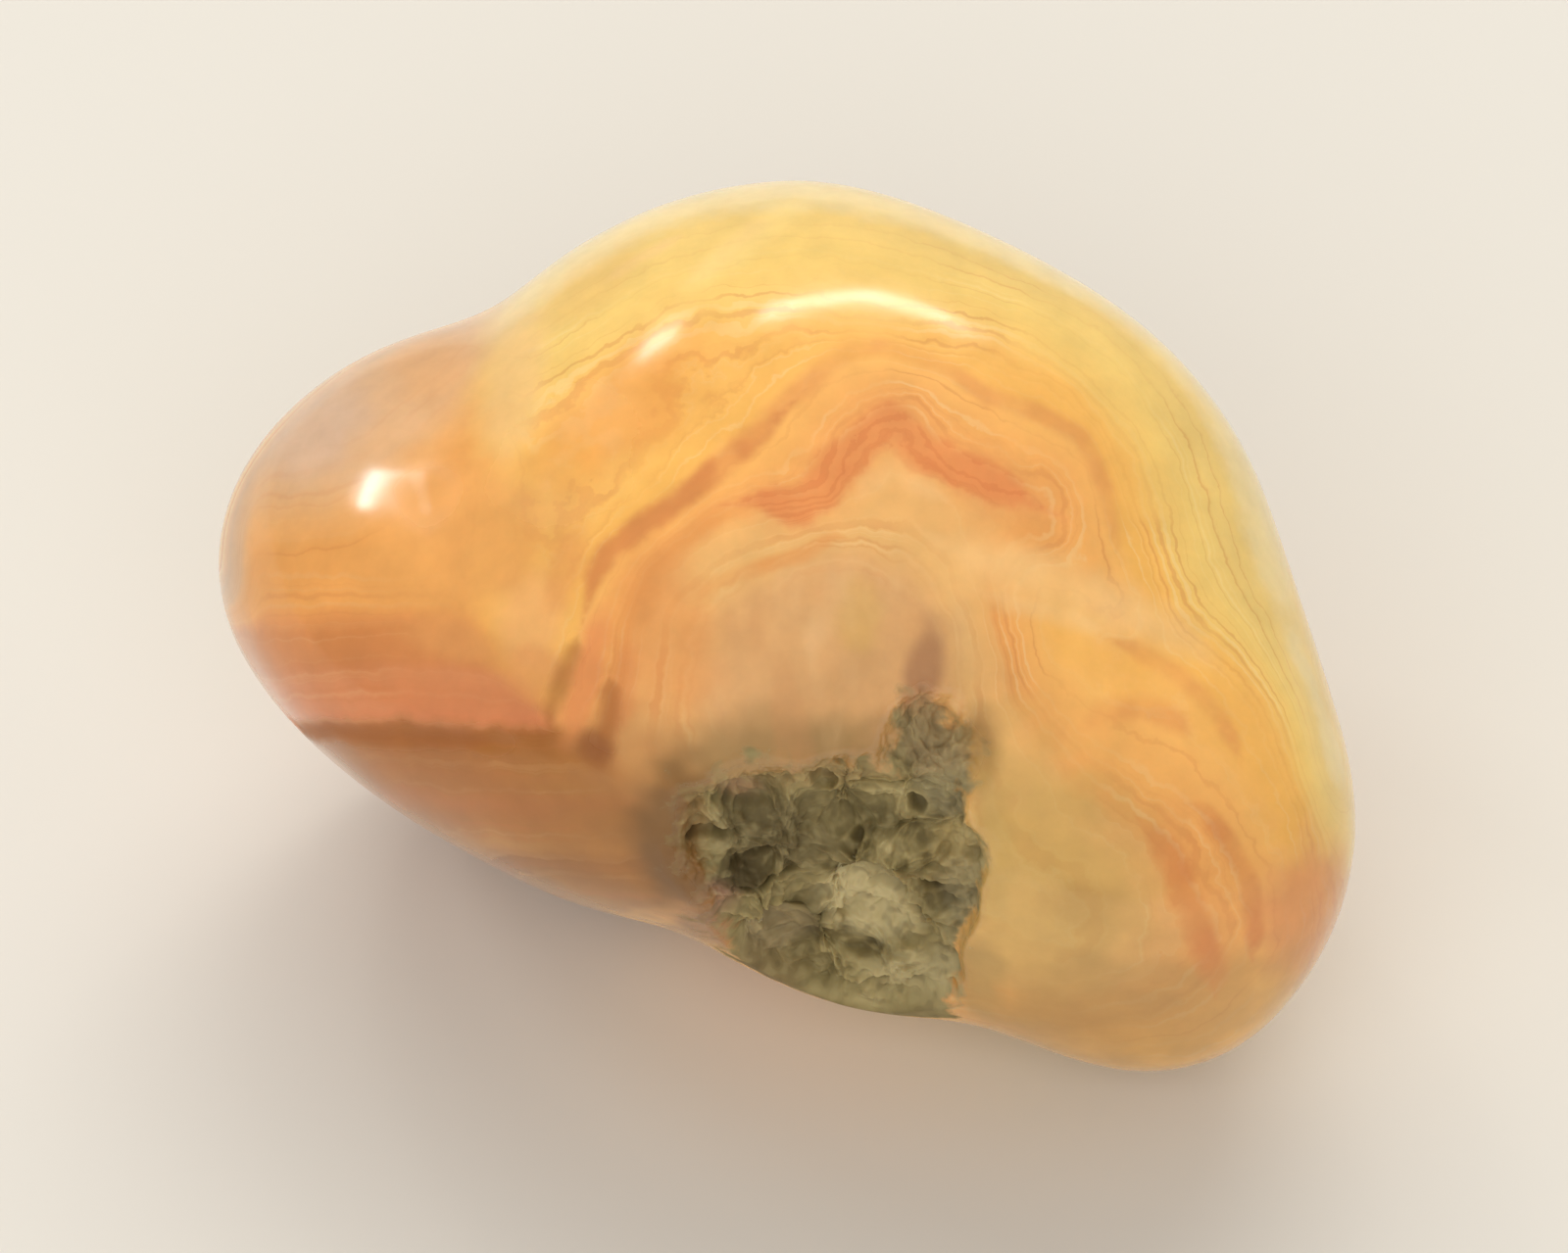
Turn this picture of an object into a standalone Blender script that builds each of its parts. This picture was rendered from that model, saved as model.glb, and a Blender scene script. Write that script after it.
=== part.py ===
"""One tumbled pebble of crazy lace agate, lying on its flat side on a table.

The pebble is one solid stone. Its form is a few lobes run together: a main dome with a shoulder on its
right, a small lobe across a notch on the left, a low lobe at the right of the front, and a foot below
its front. Broad worn faces, left from the chip that was tumbled, cut the lobes. A rough hollow, where
the stone's bands never closed, breaks into the front, and a shallow scar crosses the back.

Metres, +Z up. X runs along the stone, -Y is its front, and the origin is under its middle, on the table.
"""

import math

import bmesh
import bpy
import numpy as np
from mathutils import Vector, noise

MM = 0.001

# The stone's real length, along X. The numbers of the form below are millimetres at this length.
LENGTH = 16.0

NODE_NAME = "agate_pebble"
COLLECTION_NAME = "crazy_lace_agate_pebble"

# Lobes: centre, radii, turn about Z in degrees, and the width of the blend into the lobes before it
UPPER_LOBES = {
    "main_dome": ((0.2, 0.75, 4.65), (6.1, 6.5, 5.8), 0.0, 0.0),
    "right_shoulder": ((3.1, 1.9, 4.9), (3.4, 3.6, 3.4), 0.0, 1.5),
    "left_lobe": ((-4.6, 1.55, 4.3), (3.4, 4.2, 3.8), 12.0, 0.6),
}
LOWER_LOBES = {
    "right_front_lobe": ((5.2, -2.7, 3.95), (2.8, 3.25, 3.3), 0.0, 2.2),
    "foot_lobe": ((1.2, -2.5, 3.65), (2.3, 2.0, 1.9), 0.0, 1.0),
}

# Worn faces, each a patch of a large ball: the way it faces, its distance from the stone's middle, the
# ball's radius, and how widely its edge is rounded. The front ones cut the upper lobes alone.
MIDDLE = (0.0, 0.0, 4.5)
FRONT_FACES = {
    "left_underside": ((-0.595, -0.616, -0.517), 5.35, 20.0, 1.2),
    "front_foot": ((-0.224, -0.747, -0.627), 3.5, 20.0, 1.2),
}
FACES_ALL_ROUND = {
    "top_slope": ((0.08, -0.44, 0.89), 4.75, 22.0, 2.6),
    "front": ((-0.08, -0.98, 0.15), 5.25, 18.0, 2.0),
    "back_left": ((-0.30, 0.93, -0.20), 6.4, 18.0, 1.5),
    "back_right": ((0.60, 0.78, -0.20), 6.2, 18.0, 1.5),
    "right_foot": ((0.93, 0.20, -0.30), 7.8, 12.0, 1.2),
}

# The side that the stone lies on is flat, and rounded at its edge
FLOOR_ROUNDING = 0.5

# The rough hollow is a few balls sunk into the front and run together: centre and radius of each
ROUGH_HOLLOW = {
    "prong": ((2.0, -3.65, 7.65), 1.0),
    "right_pocket": ((1.6, -4.85, 6.25), 1.2),
    "middle_pocket": ((0.55, -5.15, 6.45), 1.55),
    "left_pocket": ((-0.4, -5.1, 6.45), 1.5),
    "right_foot_pocket": ((1.25, -5.6, 4.4), 1.6),
    "left_foot_pocket": ((0.2, -5.65, 4.1), 1.85),
}
POCKET_BLEND = 0.7
ROUGH_RIM = 0.35

# The rim of the rough hollow wanders, and its floor is covered in small rounded lumps
RIM_WANDER = 0.3
RIM_WANDERS_PER_MM = 0.9
LUMP_HEIGHT = 0.45
LUMPS_PER_MM = 1.3

# Smooth scars, where a flake left before the tumbling: centre, radius and rounding of a ball's hollow
SMOOTH_SCARS = {
    "back_scar": ((2.6, 10.9, 7.6), 5.2, 0.8),
}

# Low swells that tumbling leaves all over
SWELL_HEIGHT = 0.18
SWELLS_PER_MM = 0.25

# The mesh: cuts across each side of the starting cube, and across each face inside the rough hollow
CUBE_CUTS = 22
HOLLOW_CUTS = 1

# Each point of the surface is searched for along its line, by halves, from the middle to this far out
SEARCH_RADIUS = 14.0
SEARCH_STEPS = 30

# Finish: orange-yellow polished stone, linear colour
BASE_COLOUR = (0.71, 0.37, 0.13, 1.0)
ROUGHNESS = 0.2


def clear_scene():
    for found in list(bpy.data.objects):
        bpy.data.objects.remove(found)


def smooth_min(first, second, width):
    """The smaller of two distances, run together over the given width."""
    if width <= 0:
        return np.minimum(first, second)
    share = np.maximum(width - np.abs(first - second), 0.0) / width
    return np.minimum(first, second) - share * share * width / 4


def smooth_max(first, second, width):
    return -smooth_min(-first, -second, width)


def ball_distance(points, centre, radius):
    return np.linalg.norm(points - np.array(centre), axis=1) - radius


def lobe_distance(points, centre, radii, turn_deg):
    """Rough distance from an ellipsoid that is turned about Z. It is negative inside."""
    turn = math.radians(turn_deg)
    offset = points - np.array(centre)
    along = offset[:, 0] * math.cos(turn) + offset[:, 1] * math.sin(turn)
    across = -offset[:, 0] * math.sin(turn) + offset[:, 1] * math.cos(turn)
    scaled = np.stack([along, across, offset[:, 2]], axis=1) / np.array(radii)
    length = np.linalg.norm(scaled, axis=1)
    slope = np.linalg.norm(scaled / np.array(radii), axis=1)
    return length * (length - 1.0) / np.maximum(slope, 1e-9)


def worn_face_distance(points, facing, distance, radius):
    normal = np.array(facing) / np.linalg.norm(facing)
    return ball_distance(points, np.array(MIDDLE) + normal * (distance - radius), radius)


def noise_at(points, per_mm):
    return np.array([noise.noise(Vector(point) * per_mm) for point in points])


def rough_hollow_distance(points):
    """Rough distance from the pockets of the rough hollow, negative inside them."""
    distance = None
    for centre, radius in ROUGH_HOLLOW.values():
        pocket = ball_distance(points, centre, radius)
        distance = pocket if distance is None else smooth_min(distance, pocket, POCKET_BLEND)
    return distance


def add_lobes(points, distance, lobes):
    """Runs lobes into the form so far, which is None for the first lobe."""
    for centre, radii, turn_deg, blend in lobes.values():
        lobe = lobe_distance(points, centre, radii, turn_deg)
        distance = lobe if distance is None else smooth_min(distance, lobe, blend)
    return distance


def wear_faces(points, distance, faces):
    """Cuts worn faces from the form so far."""
    for facing, face_at, radius, rounding in faces.values():
        face = worn_face_distance(points, facing, face_at, radius)
        distance = smooth_max(distance, face, rounding)
    return distance


def form_distance(points, rim_wander):
    """Rough distance from the stone's surface, in millimetres, negative inside."""
    distance = add_lobes(points, None, UPPER_LOBES)
    distance = wear_faces(points, distance, FRONT_FACES)
    distance = add_lobes(points, distance, LOWER_LOBES)
    distance = wear_faces(points, distance, FACES_ALL_ROUND)
    for centre, radius, rounding in SMOOTH_SCARS.values():
        distance = smooth_max(distance, -ball_distance(points, centre, radius), rounding)
    distance = smooth_max(distance, rim_wander - rough_hollow_distance(points), ROUGH_RIM)
    return smooth_max(distance, -points[:, 2], FLOOR_ROUNDING)


def surface_points(directions):
    """Where the lines from the stone's middle in these directions leave the stone."""
    middle = np.array(MIDDLE)
    low = np.zeros(len(directions))
    high = np.full(len(directions), SEARCH_RADIUS)
    rim_wander = RIM_WANDER * noise_at(directions * LENGTH / 2, RIM_WANDERS_PER_MM)
    for _ in range(SEARCH_STEPS):
        reach = (low + high) / 2
        inside = form_distance(middle + directions * reach[:, None], rim_wander) < 0
        low = np.where(inside, reach, low)
        high = np.where(inside, high, reach)
    return middle + directions * ((low + high) / 2)[:, None]


def share_in_rough_hollow(points):
    """1 on the floor of the rough hollow, falling to 0 just outside its rim."""
    return np.clip(1.0 - rough_hollow_distance(points) / ROUGH_RIM, 0.0, 1.0)


def lumps_at(points):
    """Rounded lumps with sharp creases between them, about 0 on average."""
    nearest = np.array([noise.voronoi(Vector(point) * LUMPS_PER_MM)[0][0] for point in points])
    return 0.5 - nearest


def uneven(points, directions):
    """Adds the low swells and the hollow's lumps, and leaves the flat side as it is."""
    above_floor = np.clip(points[:, 2] / FLOOR_ROUNDING, 0.0, 1.0)
    swells = SWELL_HEIGHT * noise_at(points, SWELLS_PER_MM)
    lumps = LUMP_HEIGHT * lumps_at(points) * share_in_rough_hollow(points)
    return points + directions * ((swells + lumps) * above_floor)[:, None]


def starting_sphere():
    """A cube cut into even squares and rounded to a sphere, which has no crowded poles."""
    mesh = bmesh.new()
    bmesh.ops.create_cube(mesh, size=2.0)
    bmesh.ops.subdivide_edges(mesh, edges=mesh.edges[:], cuts=CUBE_CUTS, use_grid_fill=True)
    for vertex in mesh.verts:
        even = Vector([math.tan(side * math.pi / 4) for side in vertex.co])
        vertex.co = even.normalized()
    return mesh


def refine_hollow(mesh):
    """Cuts the faces of the rough hollow smaller, so that its rim and lumps have room."""
    directions = np.array([face.calc_center_median().normalized() for face in mesh.faces])
    rough = share_in_rough_hollow(surface_points(directions)) > 0
    edges = {edge for face, inside in zip(mesh.faces, rough) if inside for edge in face.edges}
    bmesh.ops.subdivide_edges(mesh, edges=list(edges), cuts=HOLLOW_CUTS, use_grid_fill=True)
    for vertex in mesh.verts:
        vertex.co.normalize()
    bmesh.ops.triangulate(mesh, faces=mesh.faces[:])


def fit_to_length(points):
    """Scales the stone to its real length, over its own middle, with its flat side at Z 0."""
    low, high = points.min(axis=0), points.max(axis=0)
    points = points - np.array([(low[0] + high[0]) / 2, (low[1] + high[1]) / 2, low[2]])
    return points * (LENGTH / (high[0] - low[0]))


def agate_material():
    material = bpy.data.materials.new("banded_agate")
    material.use_nodes = True
    shader = material.node_tree.nodes["Principled BSDF"]
    shader.inputs["Base Color"].default_value = BASE_COLOUR
    shader.inputs["Roughness"].default_value = ROUGHNESS
    shader.inputs["Metallic"].default_value = 0.0
    material.diffuse_color = BASE_COLOUR
    return material


def make_pebble():
    mesh = starting_sphere()
    refine_hollow(mesh)
    directions = np.array([vertex.co.normalized() for vertex in mesh.verts])
    points = fit_to_length(uneven(surface_points(directions), directions))
    for vertex, point in zip(mesh.verts, points):
        vertex.co = Vector(point) * MM
    bmesh.ops.recalc_face_normals(mesh, faces=mesh.faces[:])
    data = bpy.data.meshes.new(NODE_NAME)
    mesh.to_mesh(data)
    mesh.free()
    data.shade_smooth()
    data.materials.append(agate_material())
    return bpy.data.objects.new(NODE_NAME, data)


def main():
    clear_scene()
    collection = bpy.data.collections.new(COLLECTION_NAME)
    bpy.context.scene.collection.children.link(collection)
    collection.objects.link(make_pebble())


main()
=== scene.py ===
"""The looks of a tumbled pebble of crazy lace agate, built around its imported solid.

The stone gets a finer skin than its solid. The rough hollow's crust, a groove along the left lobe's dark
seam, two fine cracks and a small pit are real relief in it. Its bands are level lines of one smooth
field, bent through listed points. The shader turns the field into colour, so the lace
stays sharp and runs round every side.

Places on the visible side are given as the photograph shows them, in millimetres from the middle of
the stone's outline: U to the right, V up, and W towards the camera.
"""

import math

import bmesh
import bpy
import numpy as np
from mathutils import Matrix, Vector, noise
from mathutils.bvhtree import BVHTree


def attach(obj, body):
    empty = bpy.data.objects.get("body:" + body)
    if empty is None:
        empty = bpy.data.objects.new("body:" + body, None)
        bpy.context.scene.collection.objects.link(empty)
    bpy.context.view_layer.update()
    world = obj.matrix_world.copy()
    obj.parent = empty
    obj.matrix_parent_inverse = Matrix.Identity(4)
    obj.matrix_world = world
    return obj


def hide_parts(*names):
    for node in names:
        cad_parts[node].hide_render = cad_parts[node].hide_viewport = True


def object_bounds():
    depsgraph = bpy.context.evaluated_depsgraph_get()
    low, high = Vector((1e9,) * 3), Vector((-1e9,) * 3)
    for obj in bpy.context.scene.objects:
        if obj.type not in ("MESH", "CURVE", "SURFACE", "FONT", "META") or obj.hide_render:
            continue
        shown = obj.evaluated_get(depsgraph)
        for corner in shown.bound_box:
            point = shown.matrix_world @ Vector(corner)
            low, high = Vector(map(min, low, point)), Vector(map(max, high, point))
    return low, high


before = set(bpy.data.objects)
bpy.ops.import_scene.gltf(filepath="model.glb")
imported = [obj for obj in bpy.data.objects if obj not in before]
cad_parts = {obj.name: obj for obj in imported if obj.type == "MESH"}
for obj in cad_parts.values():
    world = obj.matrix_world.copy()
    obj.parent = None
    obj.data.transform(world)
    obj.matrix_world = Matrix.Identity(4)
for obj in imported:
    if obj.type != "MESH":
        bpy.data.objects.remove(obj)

MM = 0.001
NODE = "agate_pebble"
CAD_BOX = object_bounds()

# The camera looks down at this angle, and the stone's outline is centred this far up its V axis
VIEW_ELEVATION = math.radians(50)
OUTLINE_MIDDLE = 3.26
U_AXIS = np.array([1.0, 0.0, 0.0])
V_AXIS = np.array([0.0, math.sin(VIEW_ELEVATION), math.cos(VIEW_ELEVATION)])
W_AXIS = np.array([0.0, -math.cos(VIEW_ELEVATION), math.sin(VIEW_ELEVATION)])

# The skin's points are found on lines towards this place, which start this far out
STONE_MIDDLE = np.array([0.1, -0.85, 4.7])
OUTSIDE = 30.0

# Depths at which the stone is looked for where a line of sight misses it
MISSED_DEPTHS = np.arange(-8.0, 10.0, 0.25)

# The skin: cells across each side of the starting cube, and how often the crust's faces are halved
CUBE_CELLS = 86
CRUST_CUTS = 2

# Smoothing all over, then in the hollow alone: rounds, and how far each pulls a point to its neighbours.
# The second kind fades over these distances from the hollow.
SMOOTHING_ROUNDS = 36
SMOOTHING_PULL = 0.5
HOLLOW_ROUNDS = 110
HOLLOW_PULL = 0.9
HOLLOW_FADE = (0.3, 1.0)

# Points lower than this lie on the flat side, and the relief reaches its full height at this one
FLAT_BELOW = 0.004
FULL_RELIEF_AT = 0.5

# The rough hollow: balls run together, as in the solid, with centre and radius of each
POCKETS = (
    ((2.21, -4.66, 7.97), 1.04),
    ((1.79, -5.91, 6.51), 1.25),
    ((0.70, -6.22, 6.72), 1.61),
    ((-0.29, -6.17, 6.72), 1.56),
    ((1.43, -6.69, 4.58), 1.67),
    ((0.33, -6.74, 4.27), 1.93),
)
POCKET_BLEND = 0.73

# The grey crust's outline in U and V. It runs on below the stone's edge, where the camera doesn't see it.
CRUST_OUTLINE = (
    (1.9, -0.85), (2.25, -1.15), (2.55, -1.6), (2.5, -2.1), (2.55, -2.7), (2.68, -3.3), (2.55, -3.9),
    (2.4, -4.6), (2.2, -7.5), (-1.2, -7.5), (-0.75, -4.9), (-0.95, -3.8), (-1.3, -3.0), (-1.35, -2.4),
    (-0.5, -2.1), (0.45, -1.95), (1.4, -2.0), (1.64, -1.5), (1.76, -1.1),
)

# The crust's colour reaches this far from the hollow, and its roughness fades over these distances from
# the hollow and from the outline
CRUST_REACH = 0.7
ROUGH_FADE = (0.15, 0.45)
ROUGH_EDGE = (-0.12, 0.16)

# Its colour fades out more slowly towards the left and the top: how much, and where in U or V
SLOW_LEFT = 1.6
SLOW_LEFT_U = (-0.9, 0.6)
SLOW_TOP = 0.9
SLOW_TOP_V = (-2.7, -1.9)

# Its lower edge wanders more, over these depths below the outline's middle, and lies a little lower
CRUST_FOOT = (4.4, 5.4)
CRUST_FOOT_DROP = 0.1

# It lies this far below the solid's hollow, and by this share less in its prong, which runs out upwards
CRUST_SINK = 0.28
PRONG_SHARE = 0.8
PRONG_V = (-2.5, -1.6)

# Its grains: grains per millimetre, seed, height, and depth of the crevices between them
CRUST_GRAINS = {
    "coarse": (2.0, 0.0, 0.10, 0.05),
    "middling": (4.9, 3.0, 0.11, 0.0),
    "fine": (9.5, 4.0, 0.07, 0.0),
}
GRAIN_MIDDLE = 0.45
CREVICE_WIDTH = 0.3
CREVICE_MIDDLE = 0.17

# Holes in it, where a noise passes these values: per millimetre, seed and depth
CRUST_HOLES = (3.1, 8.0, 0.16)
HOLE_EDGE = (0.25, 0.6)

# Grooves: their course in U and V, half width and depth. Each fades over this share at its ends.
GROOVE_FADE = 0.12
GROOVES = {
    "seam": (((-6.9, -1.36), (-6.3, -1.44), (-5.42, -1.52), (-4.44, -1.54), (-3.5, -1.6)), 0.15, 0.03),
    "outer_crack": (((-2.78, 0.0), (-2.9, -0.4), (-3.05, -0.75), (-3.2, -1.1), (-3.24, -1.5)), 0.14, 0.012),
    "inner_crack": (((-2.38, -0.6), (-2.38, -1.0), (-2.4, -1.35), (-2.54, -1.75)), 0.14, 0.006),
}

# Pits: middle in U and V, radius and depth
PITS = {
    "crack_end": ((-2.56, -1.68), 0.22, 0.05),
}

# Places where the polish is worn: middle in U and V, radius and strength
WORN_PATCHES = {
    "left_flank": ((-3.1, 2.3), 1.5, 0.9),
    "lobe_side": ((-4.9, 1.8), 0.7, 0.7),
}
GROOVE_DULLNESS = 0.7

# Bands of the dome and of the right front lobe: level, and points of the line in U and V
BAND_LINES = (
    (0.0, ((-3.9, 4.35), (-3.3, 5.0), (-2.5, 5.6), (-1.7, 6.0), (-0.8, 6.2), (0.2, 6.22), (1.0, 6.15),
        (1.8, 5.95), (2.4, 5.65), (3.2, 5.4), (4.0, 5.0), (4.8, 4.4), (5.5, 3.7), (6.1, 2.95), (6.6, 2.1),
        (6.85, 1.0), (7.2, -0.5), (7.6, -1.9))),
    (2.1, ((-4.1, 2.3), (-3.2, 2.95), (-2.4, 3.6), (-1.5, 4.1), (-0.5, 4.3), (0.5, 4.3), (1.5, 4.25),
        (2.5, 4.1), (3.3, 3.8), (4.1, 3.3), (4.8, 2.4), (5.2, 1.3), (5.5, 0.3), (6.2, -0.35), (6.9, -1.4),
        (7.3, -2.5))),
    (2.5, ((-4.1, 1.0), (-4.1, 0.2), (-3.9, -0.5))),
    (2.9, ((-3.26, -1.35), (-3.22, -1.0), (-2.93, -0.31), (-2.65, 0.37), (-2.37, 0.99), (-1.85, 1.5),
        (-1.34, 2.0), (-0.78, 2.5), (-0.17, 3.05), (0.35, 3.5), (1.0, 3.75), (1.66, 3.65), (2.36, 3.5),
        (3.0, 3.15), (3.6, 2.9), (4.1, 2.6), (4.45, 1.95), (4.65, 1.2))),
    (2.9, ((3.66, -0.09), (4.71, -0.42), (5.49, -0.75), (6.0, -1.46), (6.5, -2.2), (6.95, -3.1),
        (7.1, -4.0), (6.8, -5.0), (6.1, -5.7), (5.0, -5.95))),
    (4.0, ((-2.5, -1.6), (-2.42, -1.06), (-2.2, -0.4), (-2.0, 0.4), (-1.7, 0.9), (-1.28, 1.25),
        (-0.82, 1.6), (-0.3, 1.7), (0.28, 1.73), (0.8, 2.34), (1.26, 2.8), (1.55, 2.95), (1.97, 2.57),
        (2.56, 2.18), (3.2, 1.86), (3.6, 1.6))),
    (4.0, ((4.1, -2.2), (4.9, -2.65), (5.35, -3.25), (5.6, -3.8), (5.75, -4.4))),
    (5.5, ((-0.95, -0.7), (-0.7, 0.0), (-0.2, 0.5), (0.5, 0.85), (1.2, 0.8), (1.75, 0.45), (2.1, -0.1),
        (2.25, -0.8))),
    (6.2, ((0.4, -0.9), (0.9, -0.5))),
    (5.0, ((3.9, -4.1),)),
    (3.3, ((3.4, 0.5), (4.6, 0.2))),
)

# Lines drawn over the bands: course in U and V, and half width. Each thins and fades over this length
# at its ends.
LINE_END = 1.3
RED_LINES = {
    "zigzag": (((-1.1, 1.62), (-0.7, 1.68), (-0.3, 1.74), (0.22, 1.64), (0.5, 1.85), (0.74, 2.25),
        (1.13, 2.57), (1.48, 2.82), (1.84, 2.44), (2.36, 2.18), (2.88, 1.95), (3.5, 1.66),
        (3.95, 1.42)), 0.28),
}
ORANGE_LINES = {
    "inner_eye_arc": (((4.6, -2.45), (5.0, -2.75), (5.35, -3.25), (5.57, -3.8), (5.75, -4.3), (5.95, -4.8),
        (6.0, -5.4)), 0.2),
    "outer_eye_arc": (((5.2, -2.35), (5.75, -2.5), (6.1, -2.95), (6.4, -3.5), (6.5, -4.1),
        (6.45, -4.9)), 0.15),
    "left_arc": (((-2.85, -0.3), (-2.75, 0.1), (-2.62, 0.6), (-2.42, 1.02), (-1.9, 1.42), (-1.4, 1.75),
        (-0.8, 2.25), (-0.15, 2.8), (0.4, 3.35)), 0.18),
}
LIGHT_LINES = {
    "upper_peach": (((1.7, 1.45), (2.1, 1.15), (2.7, 1.0), (3.4, 0.75), (4.2, 0.45), (5.0, 0.1),
        (5.7, -0.3), (6.3, -0.9)), 0.3),
    "lower_peach": (((2.5, 0.55), (3.1, 0.3), (3.9, 0.15), (4.6, -0.15)), 0.13),
    "diagonal": (((-1.5, 4.6), (-1.0, 5.0), (-0.5, 5.45), (-0.1, 5.8)), 0.14),
    "rim_diagonal": (((-2.6, 4.7), (-1.9, 5.15), (-1.3, 5.5)), 0.12),
    "below_zigzag": (((0.9, 1.6), (1.15, 1.95), (1.5, 2.2), (1.85, 1.95), (2.4, 1.65)), 0.14),
}
BROWN_LINES = {
    "dome_arc": (((-1.6, 1.65), (-0.78, 2.36), (-0.17, 2.9), (0.28, 3.29), (0.61, 3.61), (0.95, 3.82),
        (1.32, 3.86), (1.8, 3.72), (2.36, 3.5), (2.82, 3.16), (3.5, 2.95), (4.12, 2.6), (4.4, 1.92),
        (4.58, 1.08), (4.7, 0.5)), 0.15),
    "inner_arc": (((-0.4, 1.7), (-0.82, 1.62), (-1.28, 1.22), (-1.65, 0.9), (-1.88, 0.4),
        (-1.95, -0.3)), 0.16),
    "heart_arc": (((-1.4, 0.1), (-1.0, 0.58), (-0.37, 0.8), (0.3, 1.0), (0.7, 1.25), (1.15, 1.1)), 0.1),
    "right_arc": (((4.2, -0.1), (4.8, -0.3), (5.4, -0.65), (5.9, -1.1), (6.2, -1.6), (6.4, -2.2)), 0.14),
    "lid_arc": (((3.9, -1.5), (4.35, -1.2), (4.95, -1.1), (5.4, -1.3), (5.7, -1.7)), 0.18),
}

# Eyes of the hidden sides: azimuth and elevation from the stone's middle, level, reach and level there
HIDDEN_EYES = (
    ((178, -8), 5.8, 2.4, 3.2),
    ((140, -22), 4.9, 1.6, 2.9),
    ((212, 4), 4.5, 1.3, 2.8),
    ((160, 18), 4.3, 1.0, 2.5),
    ((185, -55), 2.0, 1.2, 1.2),
    ((20, -84), 5.6, 2.2, 3.2),
    ((104, -30), 4.6, 1.3, 3.0),
    ((60, -62), 2.6, 1.4, 1.5),
    ((330, -62), 4.2, 1.3, 2.4),
    ((97, -4), 4.4, 1.3, 2.5),
)
EYE_SPOKES = 7
EYE_UNEVENNESS = 0.25
EYE_WAVES = 2.3

# The band field: how much its bends are rounded, how closely it keeps to its points, and how many places
# are worked out at once
FIELD_ROUNDING = 0.3
FIELD_SLACK = 0.02
PLACES_AT_ONCE = 8000

# From the hidden side to the visible one, as the share by which the skin faces the camera
HIDDEN_FACING = (-0.25, 0.18)

# Bends and scallops of the bands: millimetres or levels on the visible side, and how much more on the
# hidden one
BAND_BEND = (0.10, 0.5)
FINE_BAND_BEND = (0.05, 0.09)
BAND_SCALLOP = (0.15, 1.2)

# The left lobe's right edge, as U for each V from below upwards, and how widely it fades
LOBE_EDGE_V = (-7.0, -5.5, -4.2, -3.0, -2.27, -1.66, -1.18, -0.85, -0.57, 0.16, 1.14, 2.1, 3.1, 4.35)
LOBE_EDGE_U = (-5.0, -3.4, -2.0, -1.5, -2.0, -2.73, -3.2, -3.48, -3.8, -4.2, -4.07, -3.95, -4.12, -3.9)
LOBE_FADE = (0.16, 0.16, 0.2, 0.36, 0.45, 0.36, 0.3, 0.45, 0.5, 0.5, 0.6, 0.6, 0.5, 0.5)

# The lobe's bands: V of level 0, and the level of the golden band, to which they rise right of this U
LOBE_TOP = 4.2
LOBE_GOLD = 3.4
LOBE_RISE_U = -5.8
LOBE_RISE = 1.1
LOBE_RISE_SHARPNESS = 3.0

# Over the lobe's shoulder the level falls by this much, as the skin turns from the camera, above this V
LOBE_TURN = 6.0
LOBE_TURN_FACING = (-0.1, 0.5)
LOBE_TURN_V = (-0.1, 1.0)
LOBE_SCALLOP = 1.1

# Its right edge wanders more over these depths below the outline's middle
LOBE_FOOT = (2.6, 4.0)
LOBE_HIDDEN_FADE = 0.5

# Noises: strength, noises per millimetre and seed
WANDERS = {
    "crust_edge": (0.14, 1.2, 61.0),
    "crust_foot": (0.45, 0.8, 63.0),
    "rough_foot": (0.3, 0.8, 63.0),
    "crust_swell": (0.18, 0.9, 2.0),
    "groove_edge": (0.25, 2.2, 3.0),
    "polish": (0.02, 0.4, 1.0),
    "polish_fine": (0.002, 1.6, 6.0),
    "lobe_sag": (0.10, 0.6, 21.0),
    "lobe_sag_fine": (0.06, 1.8, 25.0),
    "lobe_facing": (0.22, 0.45, 33.0),
    "lobe_hidden": (0.9, 0.4, 31.0),
    "lobe_edge": (0.16, 1.1, 17.0),
    "lobe_edge_fine": (0.06, 3.1, 18.0),
    "lobe_edge_hidden": (0.9, 0.45, 19.0),
    "lobe_edge_hidden_fine": (0.3, 1.4, 20.0),
    "stain_and_shade": (0.20, 1.3, 41.0),
    "stain_fine": (0.15, 3.4, 43.0),
    "worn_edge": (0.3, 1.2, 65.0),
    "crust_speck": (1.0, 6.5, 59.0),
}

# Clouds, of several sizes of noise: strength, clouds per millimetre, seed and number of sizes
CLOUDS = {
    "crust": (0.13, 1.9, 5.0, 4),
    "crust_shade": (0.07, 2.2, 57.0, 4),
    "lobe_foot": (1.0, 0.7, 27.0, 3),
    "milk": (1.0, 1.0, 51.0, 4),
    "lace": (1.0, 0.55, 53.0, 3),
    "line_weight": (1.0, 1.1, 55.0, 3),
}
CLOUD_EDGE = (-0.3, 0.3)

# Bends, of one noise for each axis: bends per millimetre, first seed and the step to the next
BENDS = {
    "crust": (2.6, 1.0, 7.0),
    "crust_fine": (7.0, 3.0, 7.0),
    "bands": (0.9, 5.0, 11.0),
    "bands_fine": (2.4, 9.0, 13.0),
}
CRUST_BEND = 0.2
FINE_CRUST_BEND = 0.06

# Scallops: per millimetre and seed
SCALLOPS = {
    "bands": (0.85, 2.0),
    "lobe": (0.75, 6.0),
}

# The milky heart: middle in U and V, radii, the distances over which it fades, and its streaks along X, Y
# and Z
HEART_MIDDLE = (0.75, -0.5)
HEART_RADII = (2.0, 1.7)
HEART_FADE = (0.6, 1.2)
HEART_STREAKS = np.array([1.5, 0.5, 0.5])

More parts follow.
